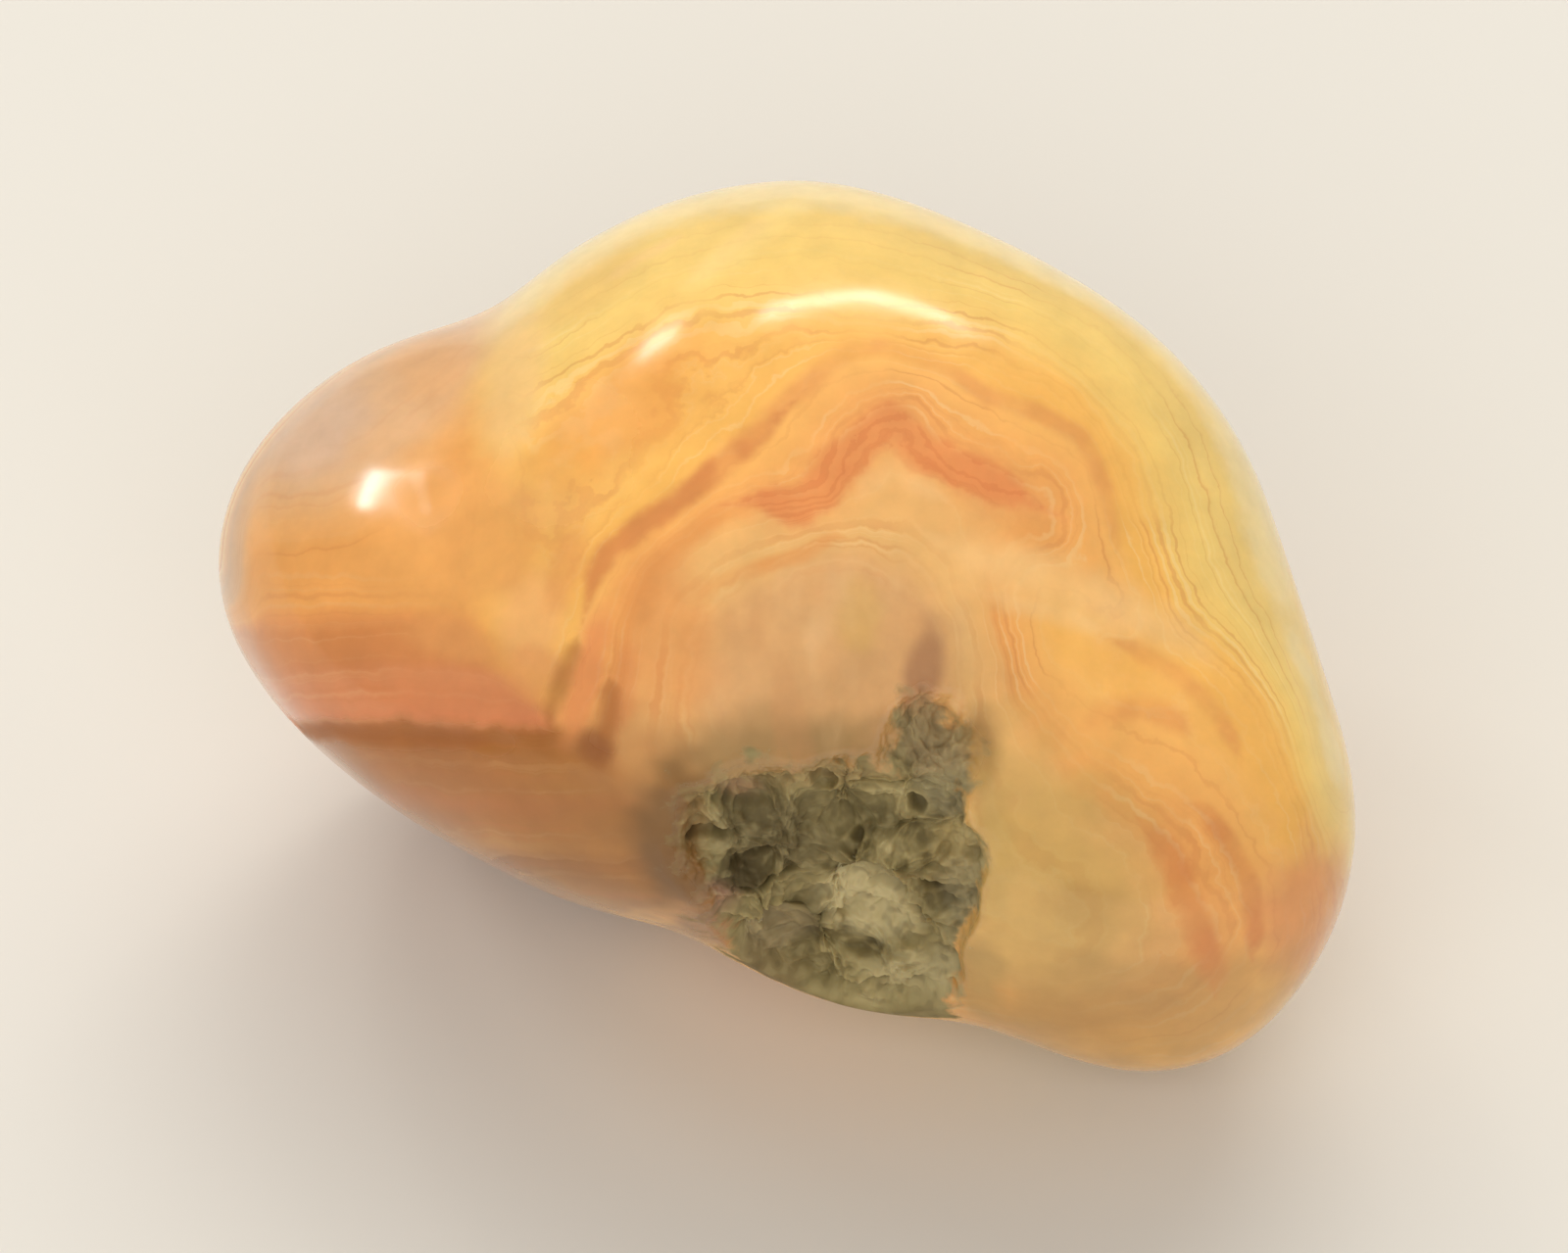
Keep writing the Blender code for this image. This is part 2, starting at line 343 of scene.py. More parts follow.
# The fine lace: its least strength in patches, what the heart takes from it, and what the lobe takes, left
# of this U and more above this V
LACE_LEAST = 0.25
LACE_LOSS_HEART = 0.85
LACE_LOBE_U = (3.0, 4.6)
LACE_LOBE_V = (1.0, 2.4)
LACE_LOSS_LOBE = 0.3
LACE_LOSS_LOBE_TOP = 0.5

# Stains over the bands, and painted shade at the stone's foot: place in U and V, radii, turn in degrees,
# colour and strength
STAINS_AND_SHADE = {
    "broad_orange": ((-2.2, 3.0), (1.5, 0.75), 38, (236, 162, 76), 0.7),
    "gold_left": ((-2.7, 4.7), (0.9, 0.4), 38, (236, 192, 110), 0.5),
    "light_streak": ((-0.6, 5.25), (1.1, 0.26), 38, (255, 222, 142), 0.6),
    "peach_blob": ((-3.46, 0.1), (0.55, 0.85), 0, (247, 184, 116), 0.8),
    "left_orange": ((-1.65, -0.1), (0.8, 1.5), 8, (232, 150, 80), 0.55),
    "left_flank": ((-3.2, 1.6), (0.65, 0.95), -10, (230, 168, 90), 0.5),
    "lobe_joint": ((-3.75, 1.2), (0.45, 0.85), 0, (222, 156, 82), 0.65),
    "beside_blob": ((-3.0, 0.75), (0.28, 0.7), -20, (230, 158, 88), 0.6),
    "blob_foot": ((-3.45, -0.6), (0.5, 0.4), 0, (222, 150, 88), 0.6),
    "low_dome": ((-1.9, -1.85), (1.25, 0.75), -25, (194, 134, 78), 0.7),
    "peach_tongue": ((-2.7, -0.65), (0.28, 1.0), -14, (230, 144, 86), 0.8),
    "inner_peach": ((-2.2, -0.8), (0.24, 0.7), -8, (222, 140, 78), 0.6),
    "crack_spot": ((-2.57, -1.66), (0.3, 0.3), 0, (150, 92, 38), 0.8),
    "heart": ((0.75, -0.6), (1.75, 1.45), 0, (224, 172, 116), 0.7),
    "heart_low": ((0.1, -1.82), (1.9, 0.7), 0, (160, 126, 76), 0.85),
    "yellow_tinge": ((1.0, 0.15), (0.35, 0.55), 0, (214, 172, 92), 0.45),
    "prong_side": ((2.66, -1.75), (0.36, 0.66), 0, (150, 112, 58), 0.85),
    "crust_side": ((2.85, -3.1), (0.35, 1.0), 0, (184, 154, 94), 0.5),
    "mauve_streak": ((1.9, -0.65), (0.3, 0.8), -10, (168, 118, 82), 0.8),
    "peach_corner": ((-3.7, 3.3), (0.45, 1.1), -15, (246, 200, 134), 0.7),
    "peach_band": ((3.7, 0.5), (2.0, 0.5), -17, (246, 196, 128), 0.5),
    "eyelid": ((4.8, -1.9), (0.95, 0.5), -20, (238, 176, 96), 0.5),
    "olive_strip": ((3.5, -3.6), (1.5, 2.4), 0, (210, 172, 96), 0.7),
    "eye_smudge": ((4.15, -3.8), (0.7, 0.35), -15, (192, 146, 80), 0.35),
    "eye_foot": ((4.3, -5.3), (1.3, 0.3), 8, (178, 130, 72), 0.45),
    "salmon_edge": ((7.3, -4.0), (0.9, 1.1), 0, (220, 140, 88), 0.7),
    # Painted shade: the right lobe's foot is darkened as if in shadow
    "right_foot": ((4.7, -5.3), (2.8, 1.1), 6, (190, 146, 84), 0.7),
    "left_foot": ((-2.3, -3.1), (1.8, 1.0), -28, (162, 104, 38), 0.7),
    # Partly the dark brown below the hollow, partly painted shade at the stone's foot
    "hollow_foot_and_painted_shade": ((-1.0, -4.2), (0.6, 0.3), -15, (140, 98, 62), 0.8),
    "crust_foot": ((2.65, -4.8), (0.4, 0.6), 0, (180, 146, 86), 0.7),
    "lobe_foot": ((-4.7, -2.2), (2.0, 0.7), -12, (176, 106, 42), 0.6),
    "above_red": ((-4.6, -0.2), (0.9, 0.3), -12, (228, 158, 90), 0.7),
    "lobe_gold": ((-4.7, 1.3), (1.3, 1.1), 10, (242, 174, 96), 0.6),
    "lobe_lilac": ((-6.5, 2.8), (0.95, 0.75), 35, (214, 184, 166), 0.6),
    "lobe_cap": ((-4.9, 3.6), (0.7, 0.6), 0, (224, 166, 108), 0.5),
    "hollow_edge": ((-1.45, -3.0), (0.75, 1.35), 10, (116, 78, 22), 0.85),
}
CRUST_STAINS = {
    "darkest": ((-0.1, -3.0), (0.95, 0.7), 0, (76, 62, 32), 0.7),
    "dark_right": ((1.2, -2.78), (0.42, 0.26), 0, (84, 72, 36), 0.65),
    "dark_left": ((-0.45, -3.6), (0.5, 0.26), -10, (66, 52, 18), 0.85),
    "light_left": ((-0.6, -2.32), (0.4, 0.2), -20, (172, 136, 98), 0.75),
    "right_side": ((2.3, -3.3), (0.35, 0.6), 0, (178, 154, 98), 0.7),
    "low_left": ((-0.2, -4.4), (0.45, 0.3), 0, (158, 138, 102), 0.6),
    "light_right": ((2.2, -2.2), (0.5, 0.6), 0, (146, 134, 100), 0.6),
    "light_edge": ((2.4, -3.8), (0.4, 0.8), 0, (150, 138, 102), 0.6),
    "light_lump": ((1.1, -3.98), (0.7, 0.45), -20, (204, 187, 138), 0.8),
    "light_foot": ((1.9, -4.9), (0.8, 0.35), 0, (190, 174, 128), 0.6),
    "prong": ((2.0, -1.0), (0.5, 0.35), 0, (192, 146, 100), 0.85),
    "prong_middle": ((2.1, -1.55), (0.6, 0.5), 0, (170, 147, 104), 0.75),
    "brown_prong": ((2.65, -1.5), (0.3, 0.35), 0, (160, 122, 70), 0.6),
    "upper_edge": ((0.2, -2.1), (1.6, 0.3), 0, (170, 142, 92), 0.65),
    "pink_spot": ((-1.0, -3.85), (0.4, 0.3), 0, (156, 114, 92), 0.7),
    "brown_left": ((-1.3, -2.9), (0.35, 1.0), 0, (140, 106, 62), 0.7),
    "brown_foot": ((-0.4, -4.9), (0.8, 0.4), 0, (112, 90, 52), 0.6),
}
STAIN_DEPTH = 3.5
STAIN_FADE = (0.45, 1.25)

# Colour by level: each stop's level and screen colour
BAND_COLOURS = (
    (-2.0, (242, 202, 122)), (-1.2, (243, 208, 130)), (-0.5, (243, 212, 140)), (-0.1, (243, 219, 160)),
    (0.15, (242, 215, 152)), (0.38, (243, 208, 126)), (1.2, (246, 209, 122)), (1.9, (247, 203, 114)),
    (2.35, (248, 190, 98)), (2.8, (247, 186, 94)), (3.1, (250, 188, 104)), (3.6, (245, 176, 98)),
    (4.0, (236, 166, 92)), (4.4, (240, 184, 114)), (5.0, (235, 184, 116)), (5.6, (226, 172, 114)),
    (6.6, (220, 168, 110)),
)

LOBE_COLOURS = (
    (-6.0, (240, 186, 104)), (-4.6, (247, 212, 130)), (-3.9, (240, 176, 98)), (-3.3, (214, 128, 72)),
    (-3.1, (246, 206, 134)), (-2.3, (243, 190, 112)), (-1.6, (224, 148, 90)), (-1.4, (244, 204, 148)),
    (-0.6, (230, 180, 138)), (0.4, (216, 176, 142)), (2.3, (226, 178, 132)), (2.75, (236, 176, 112)),
    (3.2, (236, 166, 88)), (3.9, (240, 168, 90)), (4.14, (230, 152, 84)), (4.28, (217, 139, 75)),
    (4.7, (215, 137, 77)), (4.88, (220, 141, 88)), (5.45, (220, 135, 85)), (5.6, (168, 100, 32)),
    (5.9, (170, 106, 36)), (6.4, (188, 126, 56)), (6.6, (200, 126, 64)), (6.85, (182, 124, 56)),
    (7.25, (196, 138, 68)), (7.4, (162, 104, 42)), (7.8, (174, 122, 56)), (8.5, (206, 156, 88)),
    (9.2, (234, 190, 118)), (9.9, (242, 212, 146)), (10.3, (224, 156, 84)), (11.0, (242, 206, 134)),
)

# The crust's colour by its height: darkest in crevices and holes, partly its own colour and partly painted
# shade
CRUST_COLOURS_WITH_CREVICE_SHADE = (
    (-0.2, (78, 65, 34)), (-0.1, (114, 99, 58)), (0.0, (142, 126, 80)), (0.1, (162, 145, 96)),
    (0.2, (184, 167, 118)),
)

# The warm cast of the whole stone, linear
STONE_CAST = (0.985, 0.965, 0.88)

# Darker rings: the levels at which each starts, is full, ends being full and ends, strength and colour
RINGS = (
    ((3.72, 3.88, 4.12, 4.34), 0.85, (206, 114, 62)),
    ((3.34, 3.42, 3.52, 3.6), 0.6, (218, 142, 74)),
)

# Drawn lines: colour, strength and softness, and the least share of that strength
LINE_LOOKS = {
    "light_line": ((252, 208, 146), 0.45, 0.95),
    "brown_line": ((228, 154, 84), 0.65, 0.7),
    "orange_line": ((214, 134, 72), 0.85, 0.6),
}
LINE_LEAST = 0.55

# Tints: the values of a field between which each comes up, its strength and colour
TINTS = {
    "pale_veil": (0.0, 0.7, 0.35, (240, 198, 146)),
    "dark_veil": (-0.05, -0.7, 0.35, (208, 148, 94)),
    "pale_speck": (0.05, 0.5, 0.28, (176, 160, 112)),
    "dark_speck": (-0.05, -0.5, 0.3, (84, 70, 38)),
}

# The lace: its lines to a level, the levels over which it starts above the rim, and the values of its
# noise between which its pale and its dark lines come up, with their strength
LACE_PER_LEVEL = 7.0
LACE_START = (0.02, 0.45)
PALE_LACE = (0.54, 0.70)
PALE_LACE_STRENGTH = 0.28
DARK_LACE = (0.46, 0.30)
DARK_LACE_STRENGTH = 0.34

# Colours of the lace, of the red line and of the grooves
PALE_LACE_COLOUR = (252, 226, 172)
LOBE_LACE_COLOUR = (238, 186, 126)
DARK_LACE_COLOUR = (206, 122, 62)
HALO_COLOUR = (246, 170, 104)
RED_COLOUR = (231, 147, 85)
CORE_COLOUR = (210, 110, 58)
GROOVE_COLOUR = (166, 96, 40)
HALO_STRENGTH = 0.2
CORE_STRENGTH = 0.3
CORE_STREAKS_PER_LEVEL = 9.0

# How far noise moves the levels, the share of that on the lobe, and how far it moves the crust's edge
RIPPLE = 0.14
LOBE_RIPPLE = 0.6
CRUST_RAGGEDNESS = 0.24

# The cloudy noise goes from low to high between these values, and mottles the stone by this share
CLOUDY = (0.3, 0.7)
MOTTLE = 0.07

# The finish: roughness of the polish, from low to high clouds, and of the crust, the coat, and the light
# that passes into the stone
POLISH = (0.12, 0.2)
CRUST_ROUGHNESS = 0.72
IOR = 1.54
COAT = 0.35
COAT_ROUGHNESS = 0.1
SCATTER = 0.22
SCATTER_RADIUS = (1.0, 0.55, 0.28)
SCATTER_SCALE = 0.3

# The floor: half its side in metres, screen colour and roughness
FLOOR_REACH = 1.5
FLOOR_COLOUR = (226, 222, 214)
FLOOR_ROUGHNESS = 0.6

# Lights, in metres and watts: the ends of the middle line, width, power, colour, and whether the polish
# mirrors it. They are turned towards this place in the stone.
LIT_PLACE = (0.0, 0.0, 0.008)
WARM = (1.0, 0.97, 0.9)
WHITE = (1.0, 0.99, 0.97)
LIGHTS = {
    "back_softbox": ((-0.25, 0.28, 0.36), (0.25, 0.28, 0.36), 0.3, 1.04, WARM, False),
    "front_softbox": ((-0.3, -0.3, 0.3), (0.2, -0.35, 0.3), 0.3, 0.9, WHITE, False),
    "strip": ((-0.03, 0.227, 0.285), (0.142, 0.257, 0.222), 0.024, 0.12, WARM, True),
    "small_lamp": ((-0.138, 0.238, 0.247), (-0.108, 0.243, 0.252), 0.024, 0.03, WARM, True),
    "side_lamp": ((-0.224, 0.156, 0.248), (-0.263, 0.094, 0.242), 0.016, 0.08, WHITE, True),
}
ROOM_COLOUR = (1.0, 0.98, 0.95)
ROOM_STRENGTH = 0.45

# The camera: the frame's width at the stone, lens and sensor in millimetres, and its reach in metres
FRAME_WIDTH = 21.8
LENS = 400.0
SENSOR = 36.0
NEAREST = 0.001
FARTHEST = 10.0


def srgb(red, green, blue):
    """Linear colour of one that is read off a screen, in 0 to 255."""
    shares = [channel / 255 for channel in (red, green, blue)]
    return tuple(s / 12.92 if s <= 0.04045 else ((s + 0.055) / 1.055) ** 2.4 for s in shares)


def smooth_step(value, low, high):
    share = np.clip((value - low) / (high - low), 0.0, 1.0)
    return share * share * (3 - 2 * share)


def smooth_min(first, second, width):
    share = np.maximum(width - np.abs(first - second), 0.0) / width
    return np.minimum(first, second) - share * share * width / 4


def noise_at(points, per_mm, seed=0.0):
    """Smooth noise from about -1 to 1."""
    offset = Vector((seed, -seed, 0.5 * seed))
    return np.array([noise.noise(Vector(point) * per_mm + offset) for point in points])


def cloud_at(points, per_mm, seed, layers):
    """Smooth noise of several sizes, each half as wide and half as strong as the one before."""
    return sum(noise_at(points, per_mm * 2 ** k, seed + k) * 0.5 ** k for k in range(layers))


def wander(points, name):
    strength, per_mm, seed = WANDERS[name]
    return strength * noise_at(points, per_mm, seed)


def clouds(points, name):
    strength, per_mm, seed, layers = CLOUDS[name]
    return strength * cloud_at(points, per_mm, seed, layers)


def bend(points, name):
    per_mm, seed, step = BENDS[name]
    return np.stack([noise_at(points, per_mm, seed + step * axis) for axis in range(3)], axis=1)


def cells_at(points, per_mm, seed=0.0):
    """Distance from the nearest and from the second nearest of scattered points, in cells."""
    offset = Vector((seed, -seed, 0.5 * seed))
    found = [noise.voronoi(Vector(point) * per_mm + offset)[0] for point in points]
    return np.array([pair[0] for pair in found]), np.array([pair[1] for pair in found])


def scallops(points, name):
    """Rounded humps with creases between them, about 0 on average."""
    nearest, _ = cells_at(points, *SCALLOPS[name])
    return 0.5 - nearest


class Solid:
    """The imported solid, in millimetres, to find places on."""

    def __init__(self, node):
        mesh = bmesh.new()
        mesh.from_mesh(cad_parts[node].data)
        bmesh.ops.scale(mesh, vec=(1 / MM,) * 3, verts=mesh.verts[:])
        self.tree = BVHTree.FromBMesh(mesh)
        mesh.free()

    def along(self, direction):
        """Where a line from the stone's middle leaves it."""
        start = Vector(STONE_MIDDLE + np.array(direction) * OUTSIDE)
        return np.array(self.tree.ray_cast(start, -Vector(direction))[0])

    def at_angles(self, azimuth, elevation):
        a, e = math.radians(azimuth), math.radians(elevation)
        return self.along((math.sin(a) * math.cos(e), -math.cos(a) * math.cos(e), math.sin(e)))

    def seen_at(self, u, v):
        """The place that the camera sees at U and V, or the nearest one to that line of sight."""
        line = U_AXIS * u + V_AXIS * (v + OUTLINE_MIDDLE)
        hit = self.tree.ray_cast(Vector(line + W_AXIS * OUTSIDE), -Vector(W_AXIS))[0]
        if hit is not None:
            return np.array(hit)
        near = [self.tree.find_nearest(Vector(line + W_AXIS * depth)) for depth in MISSED_DEPTHS]
        return np.array(min(near, key=lambda found: found[3])[0])


def view_places(points):
    """U, V and W of points."""
    return points @ U_AXIS, points @ V_AXIS - OUTLINE_MIDDLE, points @ W_AXIS


def hollow_distance(points):
    distance = None
    for centre, radius in POCKETS:
        pocket = np.linalg.norm(points - np.array(centre), axis=1) - radius
        distance = pocket if distance is None else smooth_min(distance, pocket, POCKET_BLEND)
    return distance


def outline_distance(u, v, outline):
    """Distance from a closed outline in U and V, negative inside it."""
    place = np.stack([u, v], axis=1)
    best = np.full(len(place), np.inf)
    inside = np.zeros(len(place), bool)
    for start, end in zip(np.array(outline), np.roll(np.array(outline), -1, axis=0)):
        along = end - start
        part = np.clip((place - start) @ along / (along @ along), 0.0, 1.0)
        best = np.minimum(best, np.linalg.norm(place - start - part[:, None] * along, axis=1))
        crosses = (start[1] > v) != (end[1] > v)
        rise = along[1] if along[1] else 1.0
        inside ^= crosses & (u < start[0] + (v - start[1]) / rise * along[0])
    return np.where(inside, -best, best)


def crust_distance(points):
    """Distance from the grey crust's edge, negative inside. It grows slowly where the crust fades out."""
    u, v, _ = view_places(points)
    edge = outline_distance(u, v, CRUST_OUTLINE) + wander(points, "crust_edge")
    slowness = 1 + SLOW_LEFT * (1 - smooth_step(u, *SLOW_LEFT_U)) + SLOW_TOP * smooth_step(v, *SLOW_TOP_V)
    edge = np.where(edge > 0, edge / slowness, edge)
    below = smooth_step(-v, *CRUST_FOOT) * (wander(points, "crust_foot") - CRUST_FOOT_DROP)
    return np.maximum(edge, hollow_distance(points) - CRUST_REACH + below)


def crust_sink(points):
    """How far the crust lies below the solid's hollow."""
    _, v, _ = view_places(points)
    return CRUST_SINK * (1 - PRONG_SHARE * smooth_step(v, *PRONG_V))


def rough_share(points):
    """1 all over the rough floor of the hollow, fading to 0 at its rim."""
    _, v, _ = view_places(points)
    below = smooth_step(-v, *CRUST_FOOT) * wander(points, "rough_foot")
    near = 1 - smooth_step(hollow_distance(points) + below, *ROUGH_FADE)
    return near * (1 - smooth_step(crust_distance(points), *ROUGH_EDGE))


def line_distance(points, course):
    """Distance from a line through places on the stone, the share of it reached there, and its length."""
    course = np.array(course)
    steps = np.linalg.norm(np.diff(course, axis=0), axis=1)
    reached = np.concatenate([[0.0], np.cumsum(steps)]) / steps.sum()
    best = np.full(len(points), np.inf)
    share = np.zeros(len(points))
    for start, end, share_low, share_high in zip(course[:-1], course[1:], reached[:-1], reached[1:]):
        along = end - start
        part = np.clip((points - start) @ along / (along @ along), 0.0, 1.0)
        distance = np.linalg.norm(points - start - part[:, None] * along, axis=1)
        nearer = distance < best
        best = np.where(nearer, distance, best)
        share = np.where(nearer, share_low + part * (share_high - share_low), share)
    return best, share, steps.sum()


def line_offset(points, solid, lines):
    """Distance from the nearest of these lines in its own half widths: 0 at its middle, 1 at its edge."""
    best = np.full(len(points), 9.0)
    for course, half_width in lines.values():
        distance, reached, length = line_distance(points, [solid.seen_at(u, v) for u, v in course])
        end = min(0.25, LINE_END / length)
        taper = smooth_step(reached, -0.02, end) * smooth_step(1 - reached, -0.02, end)
        width = half_width * np.sqrt(taper)
        best = np.minimum(best, distance / np.maximum(width, 0.01) + 1.3 * (1 - taper))
    return np.minimum(best, 9.0)


def groove_share(points, solid, course, half_width):
    """1 along the middle of a groove, 0 from its edge on, and fading towards its ends."""
    distance, reached, _ = line_distance(points, [solid.seen_at(u, v) for u, v in course])
    uneven = distance + half_width * wander(points, "groove_edge")
    fade = smooth_step(reached, 0.0, GROOVE_FADE) * (1 - smooth_step(reached, 1 - GROOVE_FADE, 1.0))
    return (1 - smooth_step(uneven, 0.15 * half_width, half_width)) * fade


def groove_offset(points, solid):
    """Distance from the nearest groove or pit, 0 at its middle and 1 at its edge."""
    best = line_offset(points, solid, {name: groove[:2] for name, groove in GROOVES.items()})
    for (u, v), radius, _ in PITS.values():
        best = np.minimum(best, np.linalg.norm(points - solid.seen_at(u, v), axis=1) / radius)
    return best


def starting_sphere():
    mesh = bmesh.new()
    bmesh.ops.create_cube(mesh, size=2.0)
    bmesh.ops.subdivide_edges(mesh, edges=mesh.edges[:], cuts=CUBE_CELLS - 1, use_grid_fill=True)
    for vertex in mesh.verts:
        even = Vector([math.tan(side * math.pi / 4) for side in vertex.co])
        vertex.co = even.normalized()
    return mesh


def refine(mesh, solid):
    """Halves the cells of the crust, so that its grains have room."""
    for _ in range(CRUST_CUTS):
        middles = [face.calc_center_median().normalized() for face in mesh.faces]
        places = np.array([solid.along(middle) for middle in middles])
        inside = rough_share(places) > 0
        edges = {edge for face, near in zip(mesh.faces, inside) if near for edge in face.edges}
        bmesh.ops.subdivide_edges(mesh, edges=list(edges), cuts=1, use_grid_fill=True)
        for vertex in mesh.verts:
            vertex.co.normalize()
    bmesh.ops.triangulate(mesh, faces=mesh.faces[:])


def indices(parts):
    """The points of each edge or face."""
    return np.array([[vertex.index for vertex in part.verts] for part in parts])


def smoothed(points, edges, rounds, pull):
    """Moves each point part of the way to the middle of its neighbours, again and again."""
    first, second = edges[:, 0], edges[:, 1]
    count = np.bincount(np.concatenate([first, second]), minlength=len(points))[:, None]
    for _ in range(rounds):
        total = np.zeros_like(points)
        for side in range(3):
            total[:, side] += np.bincount(first, points[second, side], len(points))
            total[:, side] += np.bincount(second, points[first, side], len(points))
        points = points + pull * (total / count - points)
    return points


def normals_of(points, corners):
    a, b, c = (points[corners[:, k]] for k in range(3))
    facing = np.cross(b - a, c - a)
    total = np.zeros_like(points)
    for side in range(3):
        for k in range(3):
            total[:, side] += np.bincount(corners[:, k], facing[:, side], len(points))
    return total / np.linalg.norm(total, axis=1, keepdims=True)


def crust_relief(points, crust):
    """Height of the crust's grains and crevices, in millimetres, about 0 on average."""
    relief = np.zeros(len(points))
    inside = crust > 0
    near = points[inside]
    bent = near + CRUST_BEND * bend(near, "crust") + FINE_CRUST_BEND * bend(near, "crust_fine")
    height = wander(near, "crust_swell") + clouds(near, "crust")
    for per_mm, seed, tall, crevice in CRUST_GRAINS.values():
        nearest, second = cells_at(bent, per_mm, seed)
        height += tall * (GRAIN_MIDDLE - nearest)
        height += crevice * (np.minimum(second - nearest, CREVICE_WIDTH) - CREVICE_MIDDLE)
    per_mm, seed, depth = CRUST_HOLES
    height -= depth * smooth_step(noise_at(near, per_mm, seed), *HOLE_EDGE)
    relief[inside] = (height - crust_sink(near)) * crust[inside]
    return relief


def skin_relief(points, solid):
    """Height of the polished skin's waviness, grooves and pits, in millimetres."""
    relief = wander(points, "polish") + wander(points, "polish_fine")
    for course, half_width, depth in GROOVES.values():
        relief -= depth * groove_share(points, solid, course, half_width)
    for (u, v), radius, depth in PITS.values():
        distance = np.linalg.norm(points - solid.seen_at(u, v), axis=1)
        relief -= depth * (1 - smooth_step(distance, 0.2 * radius, radius))
    return relief


def interpolated(points, centres, values):
    """A smooth field through values at centres, from multiquadrics and a plane."""
    def spread(first):
        gap = np.linalg.norm(first[:, None, :] - centres[None, :, :], axis=2)
        return np.sqrt(gap * gap + FIELD_ROUNDING)

    count = len(centres)
    plane = np.hstack([np.ones((count, 1)), centres])
    system = np.zeros((count + 4, count + 4))
    system[:count, :count] = spread(centres) - FIELD_SLACK * np.eye(count)
    system[:count, count:] = plane
    system[count:, :count] = plane.T
    weights = np.linalg.solve(system, np.concatenate([values, np.zeros(4)]))
    found = []
    for start in range(0, len(points), PLACES_AT_ONCE):
        part = points[start:start + PLACES_AT_ONCE]
        flat = np.hstack([np.ones((len(part), 1)), part]) @ weights[count:]
        found.append(spread(part) @ weights[:count] + flat)
    return np.concatenate(found)


def band_points(solid):
    """Places on the stone whose level is known, and their levels."""
    places, levels = [], []
    for level, line in BAND_LINES:
        for u, v in line:
            places.append(solid.seen_at(u, v))
            levels.append(level)
    for (azimuth, elevation), level, reach, level_there in HIDDEN_EYES:
        middle = solid.at_angles(azimuth, elevation)
        outward = Vector(middle - STONE_MIDDLE).normalized()
        side = outward.orthogonal().normalized()
        places.append(middle)
        levels.append(level)
        for spoke in range(EYE_SPOKES):
            turn = 2 * math.pi * spoke / EYE_SPOKES
            step = side * math.cos(turn) + outward.cross(side) * math.sin(turn)
            uneven = 1 + EYE_UNEVENNESS * math.sin(EYE_WAVES * spoke + azimuth)
            near = Vector(middle) + step * reach * uneven
            places.append(np.array(solid.tree.find_nearest(near)[0]))
            levels.append(level_there)
    return np.array(places), np.array(levels)


def hidden_share(normals):
    """0 all over the side that faces the camera, 1 on the far side."""
    return 1 - smooth_step(normals @ W_AXIS, *HIDDEN_FACING)


def stronger_hidden(strengths, hidden):
    on_visible_side, more_on_hidden = strengths
    return on_visible_side + more_on_hidden * hidden


def band_levels(points, solid, hidden):
    """The band field: 0 along the rim, rising into the eyes."""
    moved = points + bend(points, "bands") * stronger_hidden(BAND_BEND, hidden)[:, None]
    moved = moved + bend(points, "bands_fine") * stronger_hidden(FINE_BAND_BEND, hidden)[:, None]
    places, levels = band_points(solid)
    level = interpolated(moved, places, levels)
    return level + scallops(moved, "bands") * stronger_hidden(BAND_SCALLOP, hidden)


def lobe_levels(points, normals, hidden):
    """The left lobe's bands lie one over another: the field is the way down from its top."""
    u, v, _ = view_places(points)
    rise = np.log1p(np.exp((u - LOBE_RISE_U) * LOBE_RISE_SHARPNESS)) / LOBE_RISE_SHARPNESS
    level = LOBE_TOP - v
    level = np.maximum(level, np.minimum(level + LOBE_RISE * rise, LOBE_GOLD))
    sag = wander(points, "lobe_sag") + wander(points, "lobe_sag_fine")
    facing = normals @ W_AXIS + wander(points, "lobe_facing")
    turned = (1 - smooth_step(facing, *LOBE_TURN_FACING)) * smooth_step(v, *LOBE_TURN_V)
    unrest = wander(points, "lobe_hidden") + LOBE_SCALLOP * scallops(points, "lobe")
    return level + sag - LOBE_TURN * turned + hidden * unrest


def lobe_share(points, hidden):
    """1 on the left lobe, 0 off it."""
    u, v, _ = view_places(points)
    edge = np.interp(v, LOBE_EDGE_V, LOBE_EDGE_U) + wander(points, "lobe_edge")
    edge += wander(points, "lobe_edge_fine") + smooth_step(-v, *LOBE_FOOT) * clouds(points, "lobe_foot")
    edge += hidden * (wander(points, "lobe_edge_hidden") + wander(points, "lobe_edge_hidden_fine"))
    fade = np.interp(v, LOBE_EDGE_V, LOBE_FADE) + LOBE_HIDDEN_FADE * hidden
    return smooth_step((edge - u) / fade, -1.0, 1.0)


def stained(points, solid, stains):
    """Colour of the stains and of any painted shade among them, already multiplied by their share, and that
    share.
    """
    u, v, w = view_places(points)
    paint = np.zeros((len(points), 4))
    ragged = wander(points, "stain_and_shade") + wander(points, "stain_fine")

    def lay(colour, share):
        paint[:] = paint * (1 - share)[:, None] + np.array([*srgb(*colour), 1.0]) * share[:, None]

    for (place_u, place_v), radii, turn_deg, colour, strength in stains.values():
        turn = math.radians(turn_deg)
        du, dv = u - place_u, v - place_v
        dw = w - view_places(solid.seen_at(place_u, place_v))[2]
        along = (du * math.cos(turn) + dv * math.sin(turn)) / radii[0]
        across = (-du * math.sin(turn) + dv * math.cos(turn)) / radii[1]
        away = np.sqrt(along ** 2 + across ** 2 + (dw / STAIN_DEPTH) ** 2)
        lay(colour, strength * (1 - smooth_step(away + ragged, *STAIN_FADE)))
    return paint


